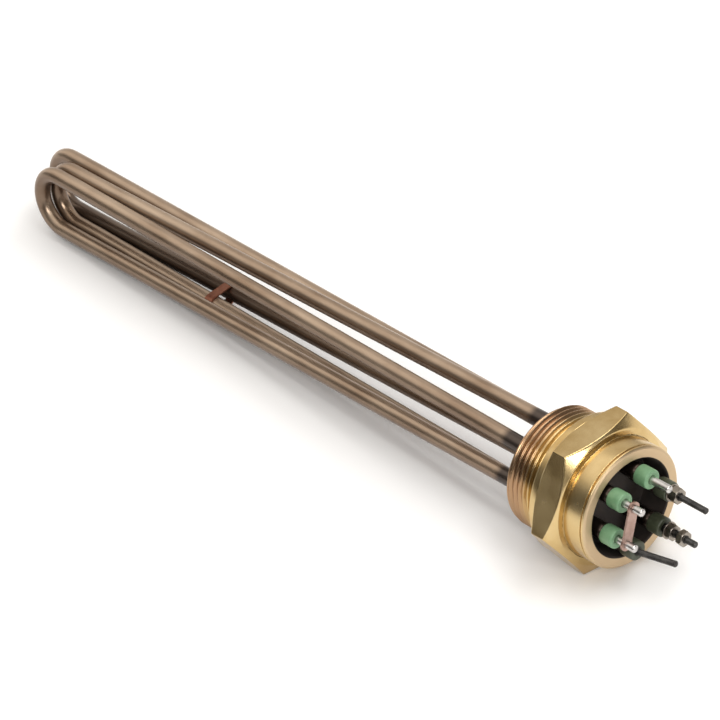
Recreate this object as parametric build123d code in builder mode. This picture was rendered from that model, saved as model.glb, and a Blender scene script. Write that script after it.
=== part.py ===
from build123d import *
from math import cos, radians, sin
import os

# Screw-in immersion heater: a hexagonal brass head with a G 1 1/2 thread
# carries three tubular hairpins, and its open cup holds their six terminals.
# Units are millimetres. The heater axis is X, with the origin on the seating
# face and +X towards the terminals. Z is up, and two flats of the hexagon lie
# level.

os.makedirs("parts", exist_ok=True)

# Brass head, sizes along the axis from the seating face
thread_radius = 23.9
thread_length = 16.6
thread_lead_in = 1.2
flange_radius = 27.5
flange_length = 3.0
hexagon_across_flats = 55.0
hexagon_end_x = 14.0
hexagon_corner_radius = 31.75
rear_chamfer_radius = 28.0
rear_chamfer_length = 2.2
front_chamfer_radius = 26.5
front_chamfer_length = 3.0
collar_radius = 23.9
rim_x = 24.0
rim_groove_start_x = 22.0
rim_groove_end_x = 22.5
rim_groove_radius = 23.3
rim_bevel_start_x = 23.3
rim_bevel_radius = 22.9
cup_radius = 19.1
cup_mouth_radius = 19.6
cup_mouth_bevel = 0.5
cup_floor_x = 12.0

# Tube holes in the head
hole_circle_radius = 14.0
hole_start_angle = 6.0
hole_step_angle = 60.0
braze_gap = 0.05

# Hairpin tubes
tube_radius = 3.25
tube_bore_radius = 2.65
tube_end_x = 25.0
leg_kink_x = -21.0
kink_bend_radius = 150.0
bend_lead_length = 14.0
leg_spacing = 24.5
rear_leg_spacing = 23.8
hairpin_pitch = 6.85
bend_direction_angle = -98.0
bundle_centre_y = -1.2
bundle_centre_z = 1.4
front_bend_x = -294.5
middle_bend_x = -293.0
rear_bend_x = -302.5

# Filling, coil and pins inside each tube
filling_gap = 0.05
filling_bore_radius = 1.55
coil_radius = 1.5
coil_bore_radius = 0.95
pin_radius = 1.5
pin_inner_x = -16.0
pin_tip_x = 40.0
pin_tip_chamfer = 0.4

# Long studs on the three far tube ends, each with a slimmer threaded end
stud_tip_x = {"middle_lower": 48.5, "rear_upper": 48.5, "rear_lower": 46.8}
stud_shoulder_x = {"middle_lower": 31.0, "rear_upper": 35.2, "rear_lower": 41.6}
stud_end_radius = 1.25

# The slim end of one stud stands bent: how far and towards which side, as seen from +X
stud_lean_angle = {"middle_lower": 9.5}
stud_lean_direction = 37.0
stud_lean_lead = 0.5
stud_lean_radius = 8.0

# Insulating bushes
bush_plug_radius = 2.6
bush_plug_length = 4.0
bush_head_radius = 3.8
bush_head_length = 6.0
bush_bore_radius = 1.55
bush_edge_chamfer = 0.5

# Washers on the two rear studs, and the nuts along them
washer_radius = 3.4
washer_bore_radius = 1.55
washer_thickness = 0.6
nut_across_flats = 5.5
nut_bore_radius = 1.55
upper_nut_length = 3.6
lower_washer_x = 33.0
lower_inner_nut_length = 2.6
lower_outer_nut_x = 39.0
lower_outer_nut_length = 2.6

# Link strip between the pins of the front hairpin
link_end_radius = 2.6
link_width = 4.6
link_bore_radius = 1.55
link_start_x = 34.8
link_thickness = 0.8

# Braze fillets round the tubes on the head's rear face
fillet_outer_radius = 4.9
fillet_height = 1.9
fillet_tip_width = 0.25
fillet_toe_height = 0.5
fillet_toe_width = 0.75

# Tie strap round the lower legs of the middle and rear hairpins
strap_x = -209.0
strap_length = 4.0
strap_thickness = 0.6
strap_gap = 0.12


# A tube hole's centre on its circle, counted from the first hole
def hole_centre(index):
    angle = radians(hole_start_angle + hole_step_angle * index)
    return hole_circle_radius * cos(angle), hole_circle_radius * sin(angle)


# The two leg centres at the bend of a hairpin that lies beside the middle one.
# The upper legs line up, and the spacing sets the lower one.
def bend_legs(side_offset, spacing):
    along_y = cos(radians(bend_direction_angle))
    along_z = sin(radians(bend_direction_angle))
    side_y = cos(radians(bend_direction_angle - 90.0))
    side_z = sin(radians(bend_direction_angle - 90.0))
    centre_y = bundle_centre_y + side_offset * side_y
    centre_z = bundle_centre_z + side_offset * side_z
    half = leg_spacing / 2
    upper = (centre_y - half * along_y, centre_z - half * along_z)
    lower = (upper[0] + spacing * along_y, upper[1] + spacing * along_z)
    return upper, lower


# The centre line of a hairpin, from one cup end round the bend to the other
def hairpin_line(end_x, upper_hole, lower_hole, bend_x, side_offset, spacing):
    upper_leg, lower_leg = bend_legs(side_offset, spacing)
    lead_x = bend_x + bend_lead_length
    middle_y = (upper_leg[0] + lower_leg[0]) / 2
    middle_z = (upper_leg[1] + lower_leg[1]) / 2
    with BuildLine() as line:
        FilletPolyline(
            (end_x, *upper_hole),
            (leg_kink_x, *upper_hole),
            (lead_x, *upper_leg),
            (bend_x, *upper_leg),
            radius=kink_bend_radius,
        )
        ThreePointArc(
            (bend_x, *upper_leg),
            (bend_x - spacing / 2, middle_y, middle_z),
            (bend_x, *lower_leg),
        )
        FilletPolyline(
            (bend_x, *lower_leg),
            (lead_x, *lower_leg),
            (leg_kink_x, *lower_hole),
            (end_x, *lower_hole),
            radius=kink_bend_radius,
        )
    return line.wire()


# The point of a leg's centre line at a given place along the axis
def leg_point(x, hole, leg, bend_x):
    lead_x = bend_x + bend_lead_length
    share = (leg_kink_x - x) / (leg_kink_x - lead_x)
    y = hole[0] + share * (leg[0] - hole[0])
    z = hole[1] + share * (leg[1] - hole[1])
    return y, z


# The centre line of a bent stud end: a lead, the bend, then straight on to the tip
def leaning_line(start_x, centre, lean, tip_x):
    direction = radians(stud_lean_direction)
    across = (0, -sin(direction), cos(direction))
    bend_end_x = start_x + stud_lean_lead + stud_lean_radius * sin(radians(lean))
    straight_length = (tip_x - bend_end_x) / cos(radians(lean))
    with BuildLine(Plane(origin=(start_x, *centre), x_dir=(1, 0, 0), z_dir=across)) as line:
        lead = Line((0, 0), (stud_lean_lead, 0))
        bend = JernArc(start=lead @ 1, tangent=(1, 0), radius=stud_lean_radius, arc_size=lean)
        PolarLine(start=bend @ 1, length=straight_length, angle=lean)
    return line.wire()


tube_ends = {
    "rear_upper": hole_centre(0),
    "middle_upper": hole_centre(1),
    "front_upper": hole_centre(2),
    "front_lower": hole_centre(3),
    "middle_lower": hole_centre(4),
    "rear_lower": hole_centre(5),
}
hairpins = {
    "front": (front_bend_x, hairpin_pitch, leg_spacing),
    "middle": (middle_bend_x, 0.0, leg_spacing),
    "rear": (rear_bend_x, -hairpin_pitch, rear_leg_spacing),
}

# Brass head: a chamfered hexagon first, then the turned flange, shank and
# collar, then the cup and the tube holes
with BuildPart() as head:
    with BuildSketch(Plane.YZ.offset(flange_length)):
        RegularPolygon(hexagon_across_flats / 2, 6, major_radius=False)
    extrude(amount=hexagon_end_x - flange_length)
    with BuildSketch(Plane.XZ):
        with BuildLine():
            Polyline(
                (flange_length, 0),
                (flange_length, rear_chamfer_radius),
                (flange_length + rear_chamfer_length, hexagon_corner_radius),
                (hexagon_end_x - front_chamfer_length, hexagon_corner_radius),
                (hexagon_end_x, front_chamfer_radius),
                (hexagon_end_x, 0),
                close=True,
            )
        make_face()
    revolve(axis=Axis.X, mode=Mode.INTERSECT)
    with BuildSketch(Plane.XZ):
        with BuildLine():
            Polyline(
                (-thread_length, 0),
                (-thread_length, thread_radius - thread_lead_in),
                (-thread_length + thread_lead_in, thread_radius),
                (0, thread_radius),
                (0, flange_radius),
                (flange_length, flange_radius),
                (flange_length, collar_radius),
                (rim_groove_start_x, collar_radius),
                (rim_groove_start_x, rim_groove_radius),
                (rim_groove_end_x, rim_groove_radius),
                (rim_groove_end_x, collar_radius),
                (rim_bevel_start_x, collar_radius),
                (rim_x, rim_bevel_radius),
                (rim_x, 0),
                close=True,
            )
        make_face()
    revolve(axis=Axis.X)
    with BuildSketch(Plane.XZ):
        with BuildLine():
            Polyline(
                (cup_floor_x, 0),
                (cup_floor_x, cup_radius),
                (rim_x - cup_mouth_bevel, cup_radius),
                (rim_x, cup_mouth_radius),
                (rim_x, 0),
                close=True,
            )
        make_face()
    revolve(axis=Axis.X, mode=Mode.SUBTRACT)
    with BuildSketch(Plane.YZ.offset(-thread_length)):
        with Locations(*tube_ends.values()):
            Circle(tube_radius + braze_gap)
    extrude(amount=thread_length + cup_floor_x, mode=Mode.SUBTRACT)
head.part.label = "head"
export_step(head.part, "parts/head.step")

# Three hairpins: copper sheath, packed insulating powder and heating coil
for place, (bend_x, side_offset, spacing) in hairpins.items():
    upper_hole = tube_ends[f"{place}_upper"]
    lower_hole = tube_ends[f"{place}_lower"]

    run = (upper_hole, lower_hole, bend_x, side_offset, spacing)

    sheath_line = hairpin_line(tube_end_x, *run)
    with BuildPart() as sheath:
        with BuildSketch(Plane.YZ.offset(tube_end_x)):
            with Locations(upper_hole):
                Circle(tube_radius)
                Circle(tube_bore_radius, mode=Mode.SUBTRACT)
        sweep(path=sheath_line)
    sheath.part.label = f"sheath_{place}"
    export_step(sheath.part, f"parts/sheath_{place}.step")

    filling_end_x = tube_end_x - bush_plug_length
    filling_line = hairpin_line(filling_end_x, *run)
    with BuildPart() as filling:
        with BuildSketch(Plane.YZ.offset(filling_end_x)):
            with Locations(upper_hole):
                Circle(tube_bore_radius - filling_gap)
                Circle(filling_bore_radius, mode=Mode.SUBTRACT)
        sweep(path=filling_line)
    filling.part.label = f"filling_{place}"
    export_step(filling.part, f"parts/filling_{place}.step")

    coil_line = hairpin_line(pin_inner_x, *run)
    with BuildPart() as coil:
        with BuildSketch(Plane.YZ.offset(pin_inner_x)):
            with Locations(upper_hole):
                Circle(coil_radius)
                Circle(coil_bore_radius, mode=Mode.SUBTRACT)
        sweep(path=coil_line)
    coil.part.label = f"coil_{place}"
    export_step(coil.part, f"parts/coil_{place}.step")

# Terminal pins, three short ones and three long studs, and their bushes
for end_name, centre in tube_ends.items():
    tip_x = stud_tip_x.get(end_name, pin_tip_x)
    shoulder_x = stud_shoulder_x.get(end_name, pin_tip_x)
    with BuildPart() as pin:
        with BuildSketch(Plane.YZ.offset(pin_inner_x)):
            with Locations(centre):
                Circle(pin_radius)
        extrude(amount=shoulder_x - pin_inner_x)
        if end_name in stud_tip_x:
            lean = stud_lean_angle.get(end_name, 0.0)
            with BuildSketch(Plane.YZ.offset(shoulder_x)):
                with Locations(centre):
                    Circle(stud_end_radius)
            if lean:
                sweep(path=leaning_line(shoulder_x, centre, lean, tip_x))
            else:
                extrude(amount=tip_x - shoulder_x)
        chamfer(pin.faces().sort_by(Axis.X)[-1].edges(), pin_tip_chamfer)
    pin.part.label = f"pin_{end_name}"
    export_step(pin.part, f"parts/pin_{end_name}.step")

    with BuildPart() as bush:
        with BuildSketch(Plane.YZ.offset(tube_end_x - bush_plug_length)):
            with Locations(centre):
                Circle(bush_plug_radius)
        extrude(amount=bush_plug_length)
        with BuildSketch(Plane.YZ.offset(tube_end_x)):
            with Locations(centre):
                Circle(bush_head_radius)
        extrude(amount=bush_head_length)
        chamfer(bush.faces().sort_by(Axis.X)[-1].edges(), bush_edge_chamfer)
        with BuildSketch(Plane.YZ.offset(tube_end_x - bush_plug_length)):
            with Locations(centre):
                Circle(bush_bore_radius)
        extrude(amount=bush_plug_length + bush_head_length, mode=Mode.SUBTRACT)
    bush.part.label = f"bush_{end_name}"
    export_step(bush.part, f"parts/bush_{end_name}.step")

# Washers on the two rear studs: one lies on its bush, one stands off it
bush_top_x = tube_end_x + bush_head_length
washers = {"rear_upper": bush_top_x, "rear_lower": lower_washer_x}
for end_name, start_x in washers.items():
    with BuildPart() as washer:
        with BuildSketch(Plane.YZ.offset(start_x)):
            with Locations(tube_ends[end_name]):
                Circle(washer_radius)
                Circle(washer_bore_radius, mode=Mode.SUBTRACT)
        extrude(amount=washer_thickness)
    washer.part.label = f"washer_{end_name}"
    export_step(washer.part, f"parts/washer_{end_name}.step")

# Hexagon nuts on the two rear studs
nuts = {
    "nut_rear_upper": ("rear_upper", bush_top_x + washer_thickness, upper_nut_length),
    "nut_rear_lower_inner": (
        "rear_lower",
        lower_washer_x + washer_thickness,
        lower_inner_nut_length,
    ),
    "nut_rear_lower_outer": ("rear_lower", lower_outer_nut_x, lower_outer_nut_length),
}
for nut_name, (end_name, start_x, nut_length) in nuts.items():
    with BuildPart() as nut:
        with BuildSketch(Plane.YZ.offset(start_x)):
            with Locations(tube_ends[end_name]):
                RegularPolygon(nut_across_flats / 2, 6, major_radius=False)
                Circle(nut_bore_radius, mode=Mode.SUBTRACT)
        extrude(amount=nut_length)
    nut.part.label = nut_name
    export_step(nut.part, f"parts/{nut_name}.step")

# Flat link strip across the two pins of the front hairpin
link_from = tube_ends["front_upper"]
link_to = tube_ends["front_lower"]
with BuildPart() as link:
    with BuildSketch(Plane.YZ.offset(link_start_x)):
        with BuildLine():
            Line(link_from, link_to)
        trace(line_width=link_width)
        with Locations(link_from, link_to):
            Circle(link_end_radius)
        with Locations(link_from, link_to):
            Circle(link_bore_radius, mode=Mode.SUBTRACT)
    extrude(amount=link_thickness)
link.part.label = "link_strip"
export_step(link.part, "parts/link_strip.step")

# Braze fillets: a ring of filler round each tube where it leaves the head
fillet_bore_radius = tube_radius + braze_gap
with BuildPart() as braze:
    with BuildSketch(Plane.XZ):
        with BuildLine():
            Polyline(
                (-thread_length, fillet_bore_radius),
                (-thread_length, fillet_outer_radius),
                (-thread_length - fillet_toe_height, fillet_bore_radius + fillet_toe_width),
                (-thread_length - fillet_height, fillet_bore_radius + fillet_tip_width),
                (-thread_length - fillet_height, fillet_bore_radius),
                close=True,
            )
        make_face()
    revolve(axis=Axis.X)
ring = braze.part
with BuildPart() as braze_fillets:
    for centre in tube_ends.values():
        add(Location((0, *centre)) * ring)
braze_fillets.part.label = "braze_fillets"
export_step(braze_fillets.part, "parts/braze_fillets.step")

# Tie strap: a flat band bent round the lower legs of the middle and rear hairpins
strap_middle_x = strap_x + strap_length / 2
strap_ends = []
for place in ("middle", "rear"):
    bend_x, side_offset, spacing = hairpins[place]
    lower_leg = bend_legs(side_offset, spacing)[1]
    strap_ends.append(leg_point(strap_middle_x, tube_ends[f"{place}_lower"], lower_leg, bend_x))
strap_bore_radius = tube_radius + strap_gap
strap_outer_radius = strap_bore_radius + strap_thickness
with BuildPart() as strap:
    with BuildSketch(Plane.YZ.offset(strap_x)):
        with BuildLine():
            Line(*strap_ends)
        trace(line_width=2 * strap_outer_radius)
        with Locations(*strap_ends):
            Circle(strap_outer_radius)
        with BuildLine():
            Line(*strap_ends)
        trace(line_width=2 * strap_bore_radius, mode=Mode.SUBTRACT)
        with Locations(*strap_ends):
            Circle(strap_bore_radius, mode=Mode.SUBTRACT)
    extrude(amount=strap_length)
strap.part.label = "tie_strap"
export_step(strap.part, "parts/tie_strap.step")
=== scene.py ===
import bpy
import bmesh
import numpy as np
from mathutils import Matrix, Vector


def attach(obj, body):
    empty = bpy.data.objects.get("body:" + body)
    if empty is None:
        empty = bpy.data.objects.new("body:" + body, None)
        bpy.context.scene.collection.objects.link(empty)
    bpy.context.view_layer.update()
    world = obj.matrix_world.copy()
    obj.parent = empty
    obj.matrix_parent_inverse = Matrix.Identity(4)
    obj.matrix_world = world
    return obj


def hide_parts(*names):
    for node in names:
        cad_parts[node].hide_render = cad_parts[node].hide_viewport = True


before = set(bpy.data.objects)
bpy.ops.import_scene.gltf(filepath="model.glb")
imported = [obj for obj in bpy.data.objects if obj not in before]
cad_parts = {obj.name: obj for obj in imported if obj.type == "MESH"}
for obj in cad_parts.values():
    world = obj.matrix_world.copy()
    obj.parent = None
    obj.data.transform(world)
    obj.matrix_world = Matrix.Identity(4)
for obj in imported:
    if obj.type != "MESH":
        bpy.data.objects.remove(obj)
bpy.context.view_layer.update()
mm = 0.001
print("frame loaded,", len(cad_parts), "nodes")


# A mesh from a grid of points (rows, columns, 3). Columns close on themselves,
# rows too if the surface is a ring. Points that fall together, as at a pole, are merged.
def gridMesh(name, points, closeRows=False):
    rows, columns = points.shape[:2]
    index = np.arange(rows * columns).reshape(rows, columns)
    nextRow = np.roll(index, -1, axis=0) if closeRows else index[1:]
    thisRow = index if closeRows else index[:-1]
    nextColumn = np.roll(nextRow, -1, axis=1)
    besideThis = np.roll(thisRow, -1, axis=1)
    quads = np.stack([thisRow, besideThis, nextColumn, nextRow], axis=-1).reshape(-1, 4)
    mesh = bpy.data.meshes.new(name)
    mesh.from_pydata((points.reshape(-1, 3) * mm).tolist(), [], quads.tolist())
    welded = bmesh.new()
    welded.from_mesh(mesh)
    bmesh.ops.remove_doubles(welded, verts=welded.verts, dist=1e-7)
    bmesh.ops.recalc_face_normals(welded, faces=welded.faces)
    welded.to_mesh(mesh)
    welded.free()
    mesh.shade_smooth()
    piece = bpy.data.objects.new(name, mesh)
    bpy.context.scene.collection.objects.link(piece)
    return piece


# A profile of (x, r) points with every inner corner rounded: each corner becomes a
# parabola that starts and ends one radius away along its two sides.
def roundedProfile(corners, radius, steps=4):
    corners = np.array(corners, float)
    start, corner, end = corners[:-2], corners[1:-1], corners[2:]
    toStart, toEnd = start - corner, end - corner
    lengthStart = np.linalg.norm(toStart, axis=1, keepdims=True)
    lengthEnd = np.linalg.norm(toEnd, axis=1, keepdims=True)
    near = np.minimum(radius, 0.45 * np.minimum(lengthStart, lengthEnd))
    before = corner + toStart / lengthStart * near
    after = corner + toEnd / lengthEnd * near
    t = np.linspace(0, 1, steps)[None, :, None]
    before, corner, after = before[:, None], corner[:, None], after[:, None]
    curve = (1 - t) ** 2 * before + 2 * t * (1 - t) * corner + t ** 2 * after
    return np.vstack([corners[:1], curve.reshape(-1, 2), corners[-1:]])


# Extra points along the long stretches of a profile, so that no step passes a length.
def divided(profile, longest):
    lengths = np.linalg.norm(np.diff(profile, axis=0), axis=1)
    counts = np.maximum(1, np.ceil(lengths / longest).astype(int))
    station = np.repeat(np.arange(len(counts)), counts)
    within = np.concatenate([np.arange(n) / n for n in counts])
    points = profile[station] + within[:, None] * (profile[station + 1] - profile[station])
    return np.vstack([points, profile[-1:]])


# The angles of a turned piece. With a hexagon they crowd at its six corners: the steps
# from a corner to the middle of a flat grow as a power.
def turnAngles(count, hexagon=False, crowding=1.6):
    if not hexagon:
        return np.linspace(0, 2 * np.pi, count, endpoint=False)
    half = count // 12
    spread = 30.0 * (np.arange(half) / half) ** crowding
    sector = np.concatenate([spread, 60.0 - spread[1:][::-1], [30.0]])
    sector = np.unique(np.round(sector, 6))
    return np.radians((sector[None, :] + 60.0 * np.arange(6)[:, None]).ravel())


# Distance from a hexagon's centre to its edge at an angle, its corners at 0, 60, 120 and on:
# half the width across flats over the cosine of the angle from the nearest flat's middle.
def hexagonRadius(angle, acrossFlats):
    fromFlat = np.mod(angle, np.pi / 3) - np.pi / 6
    return acrossFlats / 2 / np.cos(fromFlat)


# A piece turned about a line parallel to X: the profile's radius goes round the
# centre, where a hexagon is given the smaller of the two radii counts, and a thread
# cuts a groove whose phase runs one pitch per turn and fades at both ends.
def turnedPiece(name, centre, profile, count=64, acrossFlats=None, thread=None):
    angle = turnAngles(count, acrossFlats is not None)
    x = np.repeat(profile[:, :1], len(angle), axis=1)
    r = np.repeat(profile[:, 1:], len(angle), axis=1)
    if acrossFlats is not None:
        r = np.minimum(r, hexagonRadius(angle, acrossFlats)[None, :])
    if thread is not None:
        phase = np.mod(x / thread["pitch"] - angle[None, :] / (2 * np.pi), 1.0)
        groove = thread["depth"] * np.abs(2 * phase - 1)
        fadeIn = np.clip((x - thread["start"]) / thread["fadeIn"], 0, 1)
        fadeOut = np.clip((thread["end"] - x) / thread["fadeOut"], 0, 1)
        r = r - groove * fadeIn * fadeOut * (r > thread["core"])
    points = np.stack([x, centre[0] + r * np.cos(angle), centre[1] + r * np.sin(angle)], axis=-1)
    return gridMesh(name, points)


# A value brought from one range to another, held at its ends.
def mapped(tree, value, source, target, smooth=False):
    node = tree.nodes.new("ShaderNodeMapRange")
    node.interpolation_type = "SMOOTHSTEP" if smooth else "LINEAR"
    node.inputs["From Min"].default_value, node.inputs["From Max"].default_value = source
    node.inputs["To Min"].default_value, node.inputs["To Max"].default_value = target
    tree.links.new(value, node.inputs["Value"])
    return node.outputs["Result"]


# Two values joined by an operation such as ADD, MULTIPLY or ARCTAN2.
def joined(tree, operation, first, second):
    node = tree.nodes.new("ShaderNodeMath")
    node.operation = operation
    tree.links.new(first, node.inputs[0])
    tree.links.new(second, node.inputs[1])
    return node.outputs["Value"]


# A colour that goes over to a tone as the strength goes from 0 to 1.
def tinted(tree, colour, strength, tone):
    node = tree.nodes.new("ShaderNodeMix")
    node.data_type = "RGBA"
    node.inputs["B"].default_value = (*tone, 1)
    tree.links.new(strength, node.inputs["Factor"])
    tree.links.new(colour, node.inputs["A"])
    return node.outputs["Result"]


# Noise on stretched Object coordinates.
def noise(tree, vector, scale, detail):
    node = tree.nodes.new("ShaderNodeTexNoise")
    node.inputs["Scale"].default_value = scale
    node.inputs["Detail"].default_value = detail
    tree.links.new(vector, node.inputs["Vector"])
    return node


# What all finishes share: the noise behind their tones, where the two tones stand on it,
# the stretch of it that the roughness follows, and the fine grain in relief.
pattern = {"detail": 5.0, "roughness": 0.6, "tonesAt": (0.35, 0.68), "roughnessOver": (0.3, 0.7),
           "grainDetail": 3.0, "grainHeight": 0.0002}


# Materials: a metal or plastic with two tones mixed by noise and a soft roughness pattern.
# Painted shade darkens what faces down or sideways. A band tints a stretch of X: it fades in
# between from and to, out between fadeFrom and fadeTo, and may stay below a height.
# A dull stretch is rougher. Lengths are in millimetres.
def finish(name, look):
    material = bpy.data.materials.new(name)
    material.use_nodes = True
    tree = material.node_tree
    shader = tree.nodes["Principled BSDF"]
    shader.inputs["Metallic"].default_value = look.get("metallic", 1.0)
    place = tree.nodes.new("ShaderNodeTexCoord")
    axis = tree.nodes.new("ShaderNodeSeparateXYZ")
    tree.links.new(place.outputs["Object"], axis.inputs["Vector"])
    scaled = tree.nodes.new("ShaderNodeMapping")
    scaled.inputs["Scale"].default_value = look["stretch"]
    tree.links.new(place.outputs["Object"], scaled.inputs["Vector"])
    patches = noise(tree, scaled.outputs["Vector"], look["patchScale"], pattern["detail"])
    patches.inputs["Roughness"].default_value = pattern["roughness"]
    ramp = tree.nodes.new("ShaderNodeValToRGB")
    tones = (look["toneA"], look["toneB"])
    for element, position, tone in zip(ramp.color_ramp.elements, pattern["tonesAt"], tones):
        element.position = position
        element.color = (*tone, 1)
    tree.links.new(patches.outputs["Fac"], ramp.inputs["Fac"])
    colour = ramp.outputs["Color"]
    # painted shade: faces that turn down or sideways are tinted towards a dark tone
    if "paintedUnderShade" in look:
        under = look["paintedUnderShade"]
        facing = tree.nodes.new("ShaderNodeSeparateXYZ")
        tree.links.new(place.outputs["Normal"], facing.inputs["Vector"])
        upright = (under["from"], under["to"])
        strength = mapped(tree, facing.outputs["Z"], upright, (0.0, under["share"]), True)
        colour = tinted(tree, colour, strength, under["tone"])
    for band in look.get("bands", []):
        fadeIn = (band["from"] * mm, band["to"] * mm)
        strength = mapped(tree, axis.outputs["X"], fadeIn, (0.0, band["share"]), True)
        if "fadeFrom" in band:
            fadeOut = (band["fadeFrom"] * mm, band["fadeTo"] * mm)
            leaving = mapped(tree, axis.outputs["X"], fadeOut, (1.0, 0.0), True)
            strength = joined(tree, "MULTIPLY", strength, leaving)
        if "below" in band:
            heights = ((band["below"] + band["heightFade"]) * mm, band["below"] * mm)
            lowered = mapped(tree, axis.outputs["Z"], heights, (0.0, 1.0), True)
            strength = joined(tree, "MULTIPLY", strength, lowered)
        colour = tinted(tree, colour, strength, band["tone"])
    tree.links.new(colour, shader.inputs["Base Color"])
    roughness = mapped(tree, patches.outputs["Fac"], pattern["roughnessOver"], look["roughness"])
    if "dull" in look:
        dull = look["dull"]
        stretch = (dull["from"] * mm, dull["to"] * mm)
        more = mapped(tree, axis.outputs["X"], stretch, (0.0, dull["more"]))
        roughness = joined(tree, "ADD", roughness, more)
    tree.links.new(roughness, shader.inputs["Roughness"])
    if "grain" in look:
        grain = noise(tree, scaled.outputs["Vector"], look["grainScale"], pattern["grainDetail"])
        bump = tree.nodes.new("ShaderNodeBump")
        bump.inputs["Strength"].default_value = look["grain"]
        bump.inputs["Distance"].default_value = pattern["grainHeight"]
        tree.links.new(grain.outputs["Fac"], bump.inputs["Height"])
        tree.links.new(bump.outputs["Normal"], shader.inputs["Normal"])
    return material


finishes = {
    "brass": {
        "toneA": (0.50, 0.34, 0.14), "toneB": (0.68, 0.52, 0.27), "patchScale": 45.0,
        "stretch": (1, 1, 1), "roughness": (0.17, 0.29), "grain": 0.03, "grainScale": 900.0,
        "dull": {"from": 23.2, "to": 23.9, "more": 0.3},
        "bands": [{"from": -3.0, "to": -11.0, "share": 0.85, "tone": (0.34, 0.20, 0.12)},
                  {"from": 23.0, "to": 23.8, "share": 0.7, "tone": (0.56, 0.43, 0.30)}],
    },
    # painted shade for the inside of the cup, near black
    "cupShade": {
        "toneA": (0.012, 0.008, 0.006), "toneB": (0.03, 0.02, 0.014), "patchScale": 200.0, "metallic": 0.0,
        "stretch": (1, 1, 1), "roughness": (0.6, 0.8),
    },
    "copperTube": {
        "toneA": (0.29, 0.20, 0.135), "toneB": (0.51, 0.39, 0.285), "patchScale": 90.0, "metallic": 0.85,
        "stretch": (0.25, 1, 1), "roughness": (0.26, 0.38), "grain": 0.06, "grainScale": 1200.0,
        "paintedUnderShade": {"from": 0.80, "to": 0.10, "share": 0.68, "tone": (0.10, 0.06, 0.04)},
        "bands": [{"from": -31.0, "to": -27.0, "share": 0.85, "tone": (0.035, 0.03, 0.03),
                   "fadeFrom": -19.0, "fadeTo": -17.0},
                  # painted shade: the tubes are near black where they run inside the cup
                  {"from": 11.0, "to": 12.5, "share": 0.95, "tone": (0.02, 0.013, 0.01)}],
    },
    "braze": {
        "toneA": (0.42, 0.24, 0.14), "toneB": (0.66, 0.50, 0.36), "patchScale": 300.0,
        "stretch": (1, 1, 1), "roughness": (0.3, 0.5), "grain": 0.4, "grainScale": 1500.0,
    },
    "strap": {
        "toneA": (0.30, 0.12, 0.075), "toneB": (0.43, 0.20, 0.13), "patchScale": 300.0,
        "stretch": (1, 1, 1), "roughness": (0.4, 0.6), "grain": 0.4, "grainScale": 1500.0,
    },
    "bush": {
        "toneA": (0.12, 0.25, 0.125), "toneB": (0.19, 0.345, 0.19), "patchScale": 200.0, "metallic": 0.0,
        "stretch": (1, 1, 1), "roughness": (0.35, 0.5), "grain": 0.1, "grainScale": 2000.0,
    },
    # painted shade: a darker copy of the bush finish for the bushes of the three studded terminals
    "bushInPaintedShade": {
        "toneA": (0.035, 0.04, 0.022), "toneB": (0.06, 0.07, 0.04), "patchScale": 200.0, "metallic": 0.0,
        "stretch": (1, 1, 1), "roughness": (0.4, 0.55), "grain": 0.1, "grainScale": 2000.0,
    },
    "brightPin": {
        "toneA": (0.50, 0.48, 0.46), "toneB": (0.66, 0.64, 0.62), "patchScale": 200.0,
        "stretch": (1, 1, 1), "roughness": (0.22, 0.35), "grain": 0.1, "grainScale": 2000.0,
    },
    "darkStud": {
        "toneA": (0.035, 0.033, 0.032), "toneB": (0.09, 0.085, 0.08), "patchScale": 300.0,
        "stretch": (1, 1, 1), "roughness": (0.3, 0.45), "grain": 0.1, "grainScale": 2000.0,
    },
    "platedSteel": {
        "toneA": (0.22, 0.19, 0.16), "toneB": (0.40, 0.36, 0.31), "patchScale": 300.0,
        "stretch": (1, 1, 1), "roughness": (0.28, 0.4), "grain": 0.1, "grainScale": 2000.0,
    },
    "linkStrip": {
        "toneA": (0.34, 0.22, 0.18), "toneB": (0.50, 0.36, 0.31), "patchScale": 200.0,
        "stretch": (1, 1, 1), "roughness": (0.35, 0.5), "grain": 0.1, "grainScale": 2000.0,
    },
    "oxideFilling": {
        "toneA": (0.66, 0.65, 0.60), "toneB": (0.80, 0.79, 0.75), "patchScale": 200.0, "metallic": 0.0,
        "stretch": (1, 1, 1), "roughness": (0.8, 0.95),
    },
    "resistanceWire": {
        "toneA": (0.30, 0.30, 0.31), "toneB": (0.45, 0.45, 0.46), "patchScale": 200.0,
        "stretch": (1, 1, 1), "roughness": (0.3, 0.5),
    },
}
# painted shade inside the loop: the rear hairpin's lower leg is painted dark towards the bend
rearLoopPaintedShade = {"from": -130.0, "to": -210.0, "share": 0.70, "tone": (0.045, 0.03, 0.025),
         "below": -8.0, "heightFade": 8.0}
finishes["rearTubeWithLoopShade"] = dict(finishes["copperTube"], bands=finishes["copperTube"]["bands"] + [rearLoopPaintedShade])
made = {name: finish(name, look) for name, look in finishes.items()}
print("finishes made")


# Puts a piece on the fixed body, in place of its CAD node, with its finish and slot.
def dress(piece, nodeNames, finishName):
    piece.data.materials.clear()
    piece.data.materials.append(made[finishName])
    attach(piece, "root")
    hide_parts(*nodeNames)
    return piece


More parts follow.
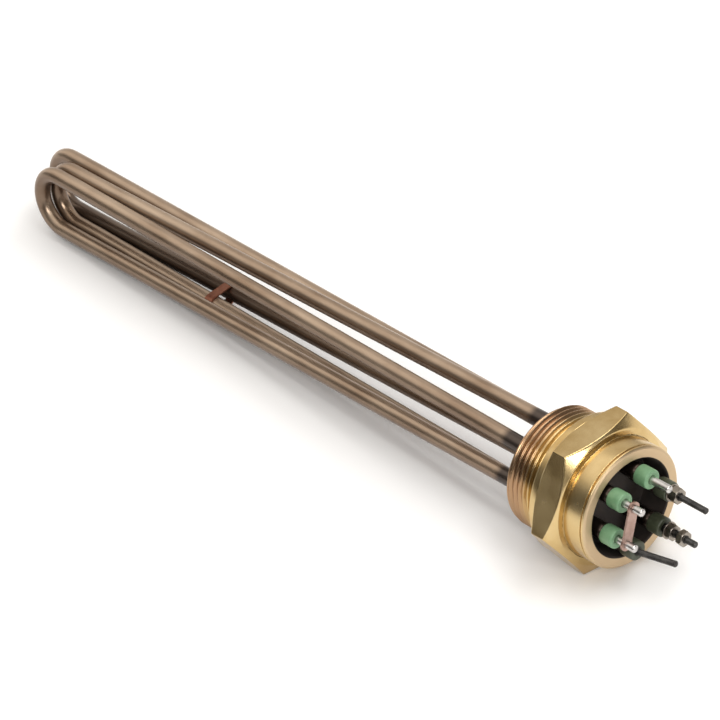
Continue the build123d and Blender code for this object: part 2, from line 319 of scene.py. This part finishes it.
# Brass head: one closed surface from the rear face's centre over the thread, flange,
# hexagon, collar and rim, and down the cup to its floor's centre.
head = {
    "rearX": -16.6, "leadInX": -15.5, "leadInRadius": 22.5, "threadRadius": 23.9, "threadEndX": -0.9,
    "neckX": -0.5, "neckRadius": 23.3, "seatX": -0.05, "threadDepth": 1.25, "threadPitch": 2.309,
    "threadStartX": -16.7, "threadCore": 22.3, "fadeIn": 1.2, "fadeOut": 1.6, "flank": 1.25, "crest": 0.12,
    "flangeX": 3.0, "flangeRadius": 27.5, "acrossFlats": 55.0, "cornerRadius": 31.75,
    "rearChamferX": 5.2, "rearChamferRadius": 28.0, "frontChamferX": 11.0, "frontChamferRadius": 26.5,
    "hexagonX": 14.0, "collarRadius": 23.9, "grooveX": (22.0, 22.15, 22.45, 22.6), "grooveRadius": 23.2,
    "rimX": 24.0, "rimRadius": 22.9, "rimChamferX": 23.3, "mouthX": 23.5, "mouthRadius": 19.6,
    "cupRadius": 19.1, "cupFloorX": 12.0, "edge": 0.35, "fineEdge": 0.22,
    "rearRings": (0.0, 10.0, 20.0), "rearEdge": 22.2, "threadStep": 0.14, "hexagonStep": 0.5, "around": 300,
    # where one stretch of the profile leaves a flat face and the next one takes it up
    "flangeEnd": 26.5, "hexagonStart": 26.0, "hexagonEnd": 24.0, "collarStart": 24.2,
    # painted shade inside the cup reaches this far past its mouth's edge and floor
    "shadeOut": 0.02, "shadeDown": 0.1,
}
shank = divided(np.array([
    (head["rearX"], 0.0), (head["rearX"], head["leadInRadius"]), (head["leadInX"], head["threadRadius"]),
    (head["threadEndX"], head["threadRadius"]), (head["neckX"], head["neckRadius"]),
    (head["seatX"], head["neckRadius"]),
]), head["threadStep"])
rearFace = [(head["rearX"], radius) for radius in head["rearRings"]]
shank = np.vstack([rearFace, shank[shank[:, 1] > head["rearEdge"]]])
flange = roundedProfile([
    (head["seatX"], head["neckRadius"]), (0.0, head["flangeRadius"]), (head["flangeX"], head["flangeRadius"]),
    (head["flangeX"], head["flangeEnd"]),
], head["edge"])
hexagonBlock = divided(roundedProfile([
    (head["flangeX"], head["hexagonStart"]), (head["flangeX"], head["rearChamferRadius"]),
    (head["rearChamferX"], head["cornerRadius"]), (head["frontChamferX"], head["cornerRadius"]),
    (head["hexagonX"], head["frontChamferRadius"]), (head["hexagonX"], head["hexagonEnd"]),
], head["edge"]), head["hexagonStep"])
collarGroove = zip(head["grooveX"], (
    head["collarRadius"], head["grooveRadius"], head["grooveRadius"], head["collarRadius"]))
collar = roundedProfile([
    (head["hexagonX"], head["collarStart"]), (head["hexagonX"], head["collarRadius"]), *collarGroove,
    (head["rimChamferX"], head["collarRadius"]), (head["rimX"], head["rimRadius"]),
    (head["rimX"], head["mouthRadius"]), (head["mouthX"], head["cupRadius"]),
    (head["cupFloorX"], head["cupRadius"]), (head["cupFloorX"], 0.0),
], head["fineEdge"])
profile = np.vstack([shank, flange[1:], hexagonBlock[1:], collar])
isHexagon = np.zeros(len(profile), bool)
isHexagon[len(shank) + len(flange) - 1:len(shank) + len(flange) + len(hexagonBlock) - 2] = True
angle = turnAngles(head["around"], True)
x = np.repeat(profile[:, :1], len(angle), axis=1)
r = np.repeat(profile[:, 1:], len(angle), axis=1)
milled = np.minimum(r, hexagonRadius(angle, head["acrossFlats"])[None, :])
r = np.where(isHexagon[:, None], milled, r)
# Thread: a groove whose phase runs one pitch per turn, with flanks as steep as flank says
# and a crest left flat. It fades in at the rear and out before the neck.
phase = np.mod(x / head["threadPitch"] - angle[None, :] / (2 * np.pi), 1.0)
groove = np.clip(np.abs(2 * phase - 1) * head["flank"] - head["crest"], 0, 1)
fadeIn = np.clip((x - head["threadStartX"]) / head["fadeIn"], 0, 1)
fadeOut = np.clip((head["threadEndX"] - x) / head["fadeOut"], 0, 1)
onThread = (r > head["threadCore"]) & (x < head["neckX"])
r = np.where(onThread, r - head["threadDepth"] * (fadeIn * fadeOut) * groove, r)
points = np.stack([x, r * np.cos(angle), r * np.sin(angle)], axis=-1)
headPiece = dress(gridMesh("brassHead", points), ["head"], "brass")
# painted shade inside the cup: every face inside the mouth takes the second finish, a near-black one
headPiece.data.materials.append(made["cupShade"])
faceCentres = np.empty(len(headPiece.data.polygons) * 3)
headPiece.data.polygons.foreach_get("center", faceCentres)
faceCentres = faceCentres.reshape(-1, 3)
fromAxis = np.hypot(faceCentres[:, 1], faceCentres[:, 2])
withinMouth = fromAxis < (head["mouthRadius"] + head["shadeOut"]) * mm
inCup = withinMouth & (faceCentres[:, 0] > (head["cupFloorX"] - head["shadeDown"]) * mm)
headPiece.data.polygons.foreach_set("material_index", inCup.astype(np.int32))
print("head made")

# Hairpin tubes: a ring section, outer and inner circle, carried along legs, kinks and the
# half-round bend. The section stands square to the line and is turned to the tubes' side.
hairpins = {
    "tubeRadius": 3.25, "boreRadius": 2.65, "endX": 25.0, "kinkX": -21.0, "kinkLength": 3.0,
    "lead": 14.0, "legSpacing": {"front": 24.5, "middle": 24.5, "rear": 23.8}, "pitch": 6.85,
    "directionAngle": -98.0, "centre": (-1.2, 1.4),
    "holeRadius": 14.0, "holeStart": 6.0,
    "bendX": {"front": -294.5, "middle": -293.0, "rear": -302.5},
    "beside": {"front": 1.0, "middle": 0.0, "rear": -1.0},
    "holes": {"front": (2, 3), "middle": (1, 4), "rear": (0, 5)},
    # how many points the straight stub, a kink, the long leg, the bend and the section have
    "stubPoints": 20, "kinkPoints": 9, "legPoints": 60, "bendPoints": 61, "around": 48, "kinkClear": 0.5,
}
holeAngle = np.radians(hairpins["holeStart"] + 60.0 * np.arange(6))
holeCentre = hairpins["holeRadius"] * np.stack([np.cos(holeAngle), np.sin(holeAngle)], axis=-1)
along, side = (np.array([np.cos(heading), np.sin(heading)]) for heading in
               np.radians([hairpins["directionAngle"], hairpins["directionAngle"] - 90]))


# One leg from the cup end to the bend: straight, a soft kink, straight, a soft kink. A kink
# is a parabola between the points one kink length before and after its corner.
def legLine(hole, leg, bendX):
    stops = np.array([(hairpins["endX"], *hole), (hairpins["kinkX"], *hole),
                      (bendX + hairpins["lead"], *leg), (bendX, *leg)])
    reach = hairpins["kinkLength"]
    t = np.linspace(0, 1, hairpins["kinkPoints"])[:, None]
    pieces = [np.linspace(stops[0], stops[1], hairpins["stubPoints"])[:-1]]
    for k in (1, 2):
        back, on = (stops[k] + (stops[n] - stops[k]) / np.linalg.norm(stops[n] - stops[k]) * reach
                    for n in (k - 1, k + 1))
        fromKink = np.linalg.norm(pieces[-1] - stops[k], axis=1)
        pieces[-1] = pieces[-1][fromKink > reach + hairpins["kinkClear"]]
        pieces.append((1 - t) ** 2 * back + 2 * t * (1 - t) * stops[k] + t ** 2 * on)
        if k == 1:
            pieces.append(np.linspace(on, stops[2], hairpins["legPoints"])[1:-1])
    pieces.append(stops[3:])
    return np.vstack(pieces)


for place in ("front", "middle", "rear"):
    spacing = hairpins["legSpacing"][place]
    beside = np.array(hairpins["centre"]) + hairpins["beside"][place] * hairpins["pitch"] * side
    upperLeg = beside - along * hairpins["legSpacing"]["front"] / 2
    lowerLeg = upperLeg + along * spacing
    middle = (upperLeg + lowerLeg) / 2
    bendX = hairpins["bendX"][place]
    upperHole, lowerHole = holeCentre[list(hairpins["holes"][place])]
    turn = np.linspace(0, np.pi, hairpins["bendPoints"])[1:-1]
    bend = np.stack([bendX - spacing / 2 * np.sin(turn)] +
                    [middle[k] - along[k] * spacing / 2 * np.cos(turn) for k in (0, 1)], axis=-1)
    line = np.vstack([legLine(upperHole, upperLeg, bendX), bend, legLine(lowerHole, lowerLeg, bendX)[::-1]])
    tangent = np.gradient(line, axis=0)
    tangent /= np.linalg.norm(tangent, axis=1, keepdims=True)
    across = np.array([0.0, *side]) - (tangent @ np.array([0.0, *side]))[:, None] * tangent
    across /= np.linalg.norm(across, axis=1, keepdims=True)
    out = np.cross(tangent, across)
    circle = turnAngles(hairpins["around"])[None, :, None]
    spokes = across[:, None] * np.cos(circle) + out[:, None] * np.sin(circle)
    outer = line[:, None] + hairpins["tubeRadius"] * spokes
    inner = line[:, None] + hairpins["boreRadius"] * spokes
    tube = gridMesh("sheath_" + place + "_tube", np.concatenate([outer, inner[::-1]]), closeRows=True)
    # the rear tube takes the finish with the painted loop shade
    tubeFinish = "rearTubeWithLoopShade" if place == "rear" else "copperTube"
    dress(tube, ["sheath_" + place], tubeFinish)
print("tubes made")

# Terminals: bushes, pins, studs, washers and nuts on the six tube ends.
terminal = {
    "names": ["rear_upper", "middle_upper", "front_upper", "front_lower", "middle_lower", "rear_lower"],
    "tip": {"middle_lower": 48.5, "rear_upper": 48.5, "rear_lower": 46.8}, "shortTip": 40.0,
    "shoulder": {"middle_lower": 31.0, "rear_upper": 35.2, "rear_lower": 41.6},
    "leanAngle": {"middle_lower": 9.5}, "leanDirection": 37.0, "leanStart": 31.5, "leanRadius": 8.0,
    "innerX": -16.0, "radius": 1.5, "slimRadius": 1.25, "bore": 1.55, "around": 32,
}
# The short pins' tips, and the studs' shoulders, threads and tips. The thread's fine steps
# start a gap past the shoulder and end clear of the tip.
shortEnd = {"chamfer": 0.4, "radius": 1.1, "edge": 0.25}
studEnd = {"chamfer": 0.4, "radius": 0.85, "edge": 0.2, "shoulderEdge": 0.1, "gap": 0.05, "clear": 0.42,
           "step": 0.07}
studThread = {"afterShoulder": 0.4, "beforeTip": 0.5, "pitch": 0.5, "depth": 0.2, "fadeIn": 0.5,
              "fadeOut": 0.3, "core": 0.9}
bush = {"plugX": 21.0, "plugRadius": 2.6, "seatX": 25.0, "frontX": 31.0, "radius": 3.8, "edge": 0.6}
washer = {"start": {"rear_upper": 31.0, "rear_lower": 33.0}, "radius": 3.4, "thickness": 0.6,
          "edge": 0.12, "around": 48}
# nuts: the stud that each sits on, where it starts and how long it is
nut = {
    "places": {"nut_rear_upper": ("rear_upper", 31.6, 3.6), "nut_rear_lower_inner": ("rear_lower", 33.6, 2.6),
               "nut_rear_lower_outer": ("rear_lower", 39.0, 2.6)},
    "acrossFlats": 5.5, "cornerRadius": 3.175, "faceRadius": 2.7, "chamfer": 0.3, "edge": 0.1,
    "step": 0.3, "around": 72,
}
bore = terminal["bore"]


# Bends a stud's end: past the start the centre line follows an arc, then goes straight on,
# and the stretch is scaled so that the tip keeps its place along X.
def leanOver(pin, centre, tip, lean):
    count = len(pin.data.vertices)
    place = np.empty(count * 3)
    pin.data.vertices.foreach_get("co", place)
    place = place.reshape(-1, 3) / mm
    start, radius = terminal["leanStart"], terminal["leanRadius"]
    straight = (tip - start - radius * np.sin(lean)) / np.cos(lean)
    run = np.clip((place[:, 0] - start) / (tip - start), 0, None) * (radius * lean + straight)
    turned = np.minimum(run / radius, lean)
    past = np.maximum(run - radius * lean, 0)
    lineX = start + radius * np.sin(turned) + past * np.cos(lean)
    lineOff = radius * (1 - np.cos(turned)) + past * np.sin(lean)
    heading = np.radians(terminal["leanDirection"])
    toSide = np.array([np.cos(heading), np.sin(heading)])
    across = (place[:, 1:] - centre) @ toSide
    beyond = place[:, 0] > start
    place[:, 0] = np.where(beyond, lineX - across * np.sin(turned), place[:, 0])
    shift = np.where(beyond, lineOff + across * (np.cos(turned) - 1), 0.0)
    place[:, 1:] += shift[:, None] * toSide
    pin.data.vertices.foreach_set("co", (place * mm).ravel())
    pin.data.update()


for name, centre in zip(terminal["names"], holeCentre):
    isStud = name in terminal["tip"]
    bushProfile = roundedProfile([
        (bush["plugX"], bore), (bush["plugX"], bush["plugRadius"]), (bush["seatX"], bush["plugRadius"]),
        (bush["seatX"], bush["radius"]), (bush["frontX"], bush["radius"]), (bush["frontX"], bore),
        (bush["plugX"], bore)], bush["edge"])
    # the studded terminals' bushes take the darker copy of the bush finish, as painted shade
    dress(turnedPiece("bush_" + name + "_bead", centre, bushProfile), ["bush_" + name],
          "bushInPaintedShade" if isStud else "bush")
    tip = terminal["tip"].get(name, terminal["shortTip"])
    thick, slim = terminal["radius"], terminal["slimRadius"]
    start = [(terminal["innerX"], 0.0), (terminal["innerX"], thick)]
    ridge = None
    if isStud:
        shoulder = terminal["shoulder"][name]
        threaded = np.array([(shoulder + studEnd["gap"], slim), (tip - studEnd["clear"], slim)])
        pinProfile = np.vstack([
            roundedProfile([*start, (shoulder, thick), (shoulder, slim)], studEnd["shoulderEdge"]),
            divided(threaded, studEnd["step"]),
            roundedProfile([(tip - studEnd["chamfer"], slim), (tip, studEnd["radius"]), (tip, 0.0)],
                           studEnd["edge"])])
        ridge = dict(studThread, start=shoulder + studThread["afterShoulder"],
                     end=tip - studThread["beforeTip"])
    else:
        pinProfile = roundedProfile([*start, (tip - shortEnd["chamfer"], thick),
                                     (tip, shortEnd["radius"]), (tip, 0.0)], shortEnd["edge"])
    pin = turnedPiece("pin_" + name + "_rod", centre, pinProfile, terminal["around"], thread=ridge)
    if name in terminal["leanAngle"]:
        leanOver(pin, centre, tip, np.radians(terminal["leanAngle"][name]))
    dress(pin, ["pin_" + name],
          "darkStud" if isStud else "brightPin")
for name, start in washer["start"].items():
    centre = holeCentre[terminal["names"].index(name)]
    end = start + washer["thickness"]
    ring = roundedProfile([(start, bore), (start, washer["radius"]), (end, washer["radius"]),
                           (end, bore), (start, bore)], washer["edge"])
    disc = turnedPiece("washer_" + name + "_ring", centre, ring, washer["around"])
    dress(disc, ["washer_" + name], "platedSteel")
for nutName, (name, start, length) in nut["places"].items():
    centre = holeCentre[terminal["names"].index(name)]
    end = start + length
    ring = divided(roundedProfile([
        (start, bore), (start, nut["faceRadius"]), (start + nut["chamfer"], nut["cornerRadius"]),
        (end - nut["chamfer"], nut["cornerRadius"]), (end, nut["faceRadius"]), (end, bore), (start, bore),
    ], nut["edge"]), nut["step"])
    block = turnedPiece(nutName + "_hexagon", centre, ring, nut["around"], acrossFlats=nut["acrossFlats"])
    dress(block, [nutName], "platedSteel")
print("terminals made")

# CAD nodes that stay take a finish only.
kept = {"link_strip": "linkStrip", "braze_fillets": "braze", "tie_strap": "strap",
        "filling_front": "oxideFilling", "filling_middle": "oxideFilling", "filling_rear": "oxideFilling",
        "coil_front": "resistanceWire", "coil_middle": "resistanceWire", "coil_rear": "resistanceWire"}
for name, finishName in kept.items():
    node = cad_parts[name]
    node.data.materials.clear()
    node.data.materials.append(made[finishName])

# Floor: a pale sheet under the lowest edge of the flange and the lowest bend.
floor = {"reach": 1500.0, "restFlange": (0.0, -27.5), "restBend": (-302.5, -14.93), "gap": 0.05,
         "tone": 0.97, "roughness": 0.9, "specular": 0.1}
(flangeX, flangeZ), (lowBendX, lowBendZ) = floor["restFlange"], floor["restBend"]
slope = (lowBendZ - flangeZ) / (lowBendX - flangeX)
reachX = np.array([-1.0, 1.0, 1.0, -1.0]) * floor["reach"]
reachY = np.array([-1.0, -1.0, 1.0, 1.0]) * floor["reach"]
corners = np.stack([reachX, reachY, flangeZ + slope * reachX - floor["gap"]], axis=-1)
sheetMesh = bpy.data.meshes.new("floorSheet")
sheetMesh.from_pydata((corners * mm).tolist(), [], [(0, 1, 2, 3)])
sheet = bpy.data.objects.new("floorSheet", sheetMesh)
bpy.context.scene.collection.objects.link(sheet)
paper = bpy.data.materials.new("paleFloor")
paper.use_nodes = True
paperShader = paper.node_tree.nodes["Principled BSDF"]
paperShader.inputs["Base Color"].default_value = (floor["tone"],) * 3 + (1,)
paperShader.inputs["Roughness"].default_value = floor["roughness"]
paperShader.inputs["Specular IOR Level"].default_value = floor["specular"]
sheetMesh.materials.append(paper)

# Light: a broad soft lamp overhead, one over the near side that reaches into the cup, a small
# one at the right, and a surrounding that is bright overhead and dim in front.
world = bpy.data.worlds.new("studio")
bpy.context.scene.world = world
world.use_nodes = True
sky = world.node_tree
background = sky.nodes["Background"]
# How bright the room is round the heater's axis: 0 is level behind it, 90 overhead, 180 level in front.
room = {0: 0.55, 30: 0.80, 60: 0.80, 75: 1.30, 115: 1.20, 142: 0.18, 165: 0.10, 180: 0.10}
roomTint = np.array([1.02, 0.98, 0.93])
# The side that the cup faces is dimmer: the room's strength falls as X rises.
cupSide = {"between": (0.1, 0.6), "strength": (1.0, 0.3)}
direction = sky.nodes.new("ShaderNodeTexCoord")
parts = sky.nodes.new("ShaderNodeSeparateXYZ")
sky.links.new(direction.outputs["Generated"], parts.inputs["Vector"])
heading = joined(sky, "ARCTAN2", parts.outputs["Z"], parts.outputs["Y"])
halfTurns = mapped(sky, heading, (0.0, np.pi), (0.0, 1.0))
panels = sky.nodes.new("ShaderNodeValToRGB")
while len(panels.color_ramp.elements) < len(room):
    panels.color_ramp.elements.new(1.0)
for stop, (degrees, level) in zip(panels.color_ramp.elements, room.items()):
    stop.position = degrees / 180
    stop.color = (*(level * roomTint), 1)
sky.links.new(halfTurns, panels.inputs["Fac"])
sky.links.new(panels.outputs["Color"], background.inputs["Color"])
dimming = mapped(sky, parts.outputs["X"], cupSide["between"], cupSide["strength"])
sky.links.new(dimming, background.inputs["Strength"])
lamps = {
    "overhead": {"place": (0.30, 0.32, 1.0), "aim": (-0.10, 0.05, 0), "size": (1.2, 0.40), "power": 6.0},
    "nearSide": {"place": (1.2, -1.1, 1.35), "aim": (-0.12, 0, 0), "size": (0.7, 0.7), "power": 15.0},
    "right": {"place": (1.54, 0.18, 0.40), "aim": (0, 0, 0), "size": (0.22, 0.22), "power": 5.0},
}
for name, lamp in lamps.items():
    light = bpy.data.lights.new(name, "AREA")
    light.shape = "RECTANGLE"
    light.size, light.size_y = lamp["size"]
    light.energy = lamp["power"]
    holder = bpy.data.objects.new(name, light)
    bpy.context.scene.collection.objects.link(holder)
    holder.location = lamp["place"]
    toAim = Vector(lamp["aim"]) - Vector(lamp["place"])
    holder.rotation_euler = toAim.to_track_quat("-Z", "Y").to_euler()

# Camera: the photograph's viewpoint, found by fitting its outlines.
view = {"place": (0.9108, -0.7312, 0.9594), "right": (0.6631, 0.7322, -0.1556),
        "up": (-0.3713, 0.5023, 0.7810), "forward": (-0.6500, 0.4601, -0.6049),
        "focalPixels": 4190.5, "picturePixels": 720.0, "sensorWidth": 36.0}
lens = bpy.data.cameras.new("photoCamera")
lens.sensor_width = view["sensorWidth"]
lens.lens = view["focalPixels"] * view["sensorWidth"] / view["picturePixels"]
lens.clip_end = 20.0
camera = bpy.data.objects.new("photoCamera", lens)
bpy.context.scene.collection.objects.link(camera)
turnMatrix = Matrix((view["right"], view["up"], tuple(-v for v in view["forward"]))).transposed()
camera.matrix_world = Matrix.Translation(view["place"]) @ turnMatrix.to_4x4()
bpy.context.scene.camera = camera
bpy.context.scene.view_settings.view_transform = "Standard"
print("floor, light and camera set")
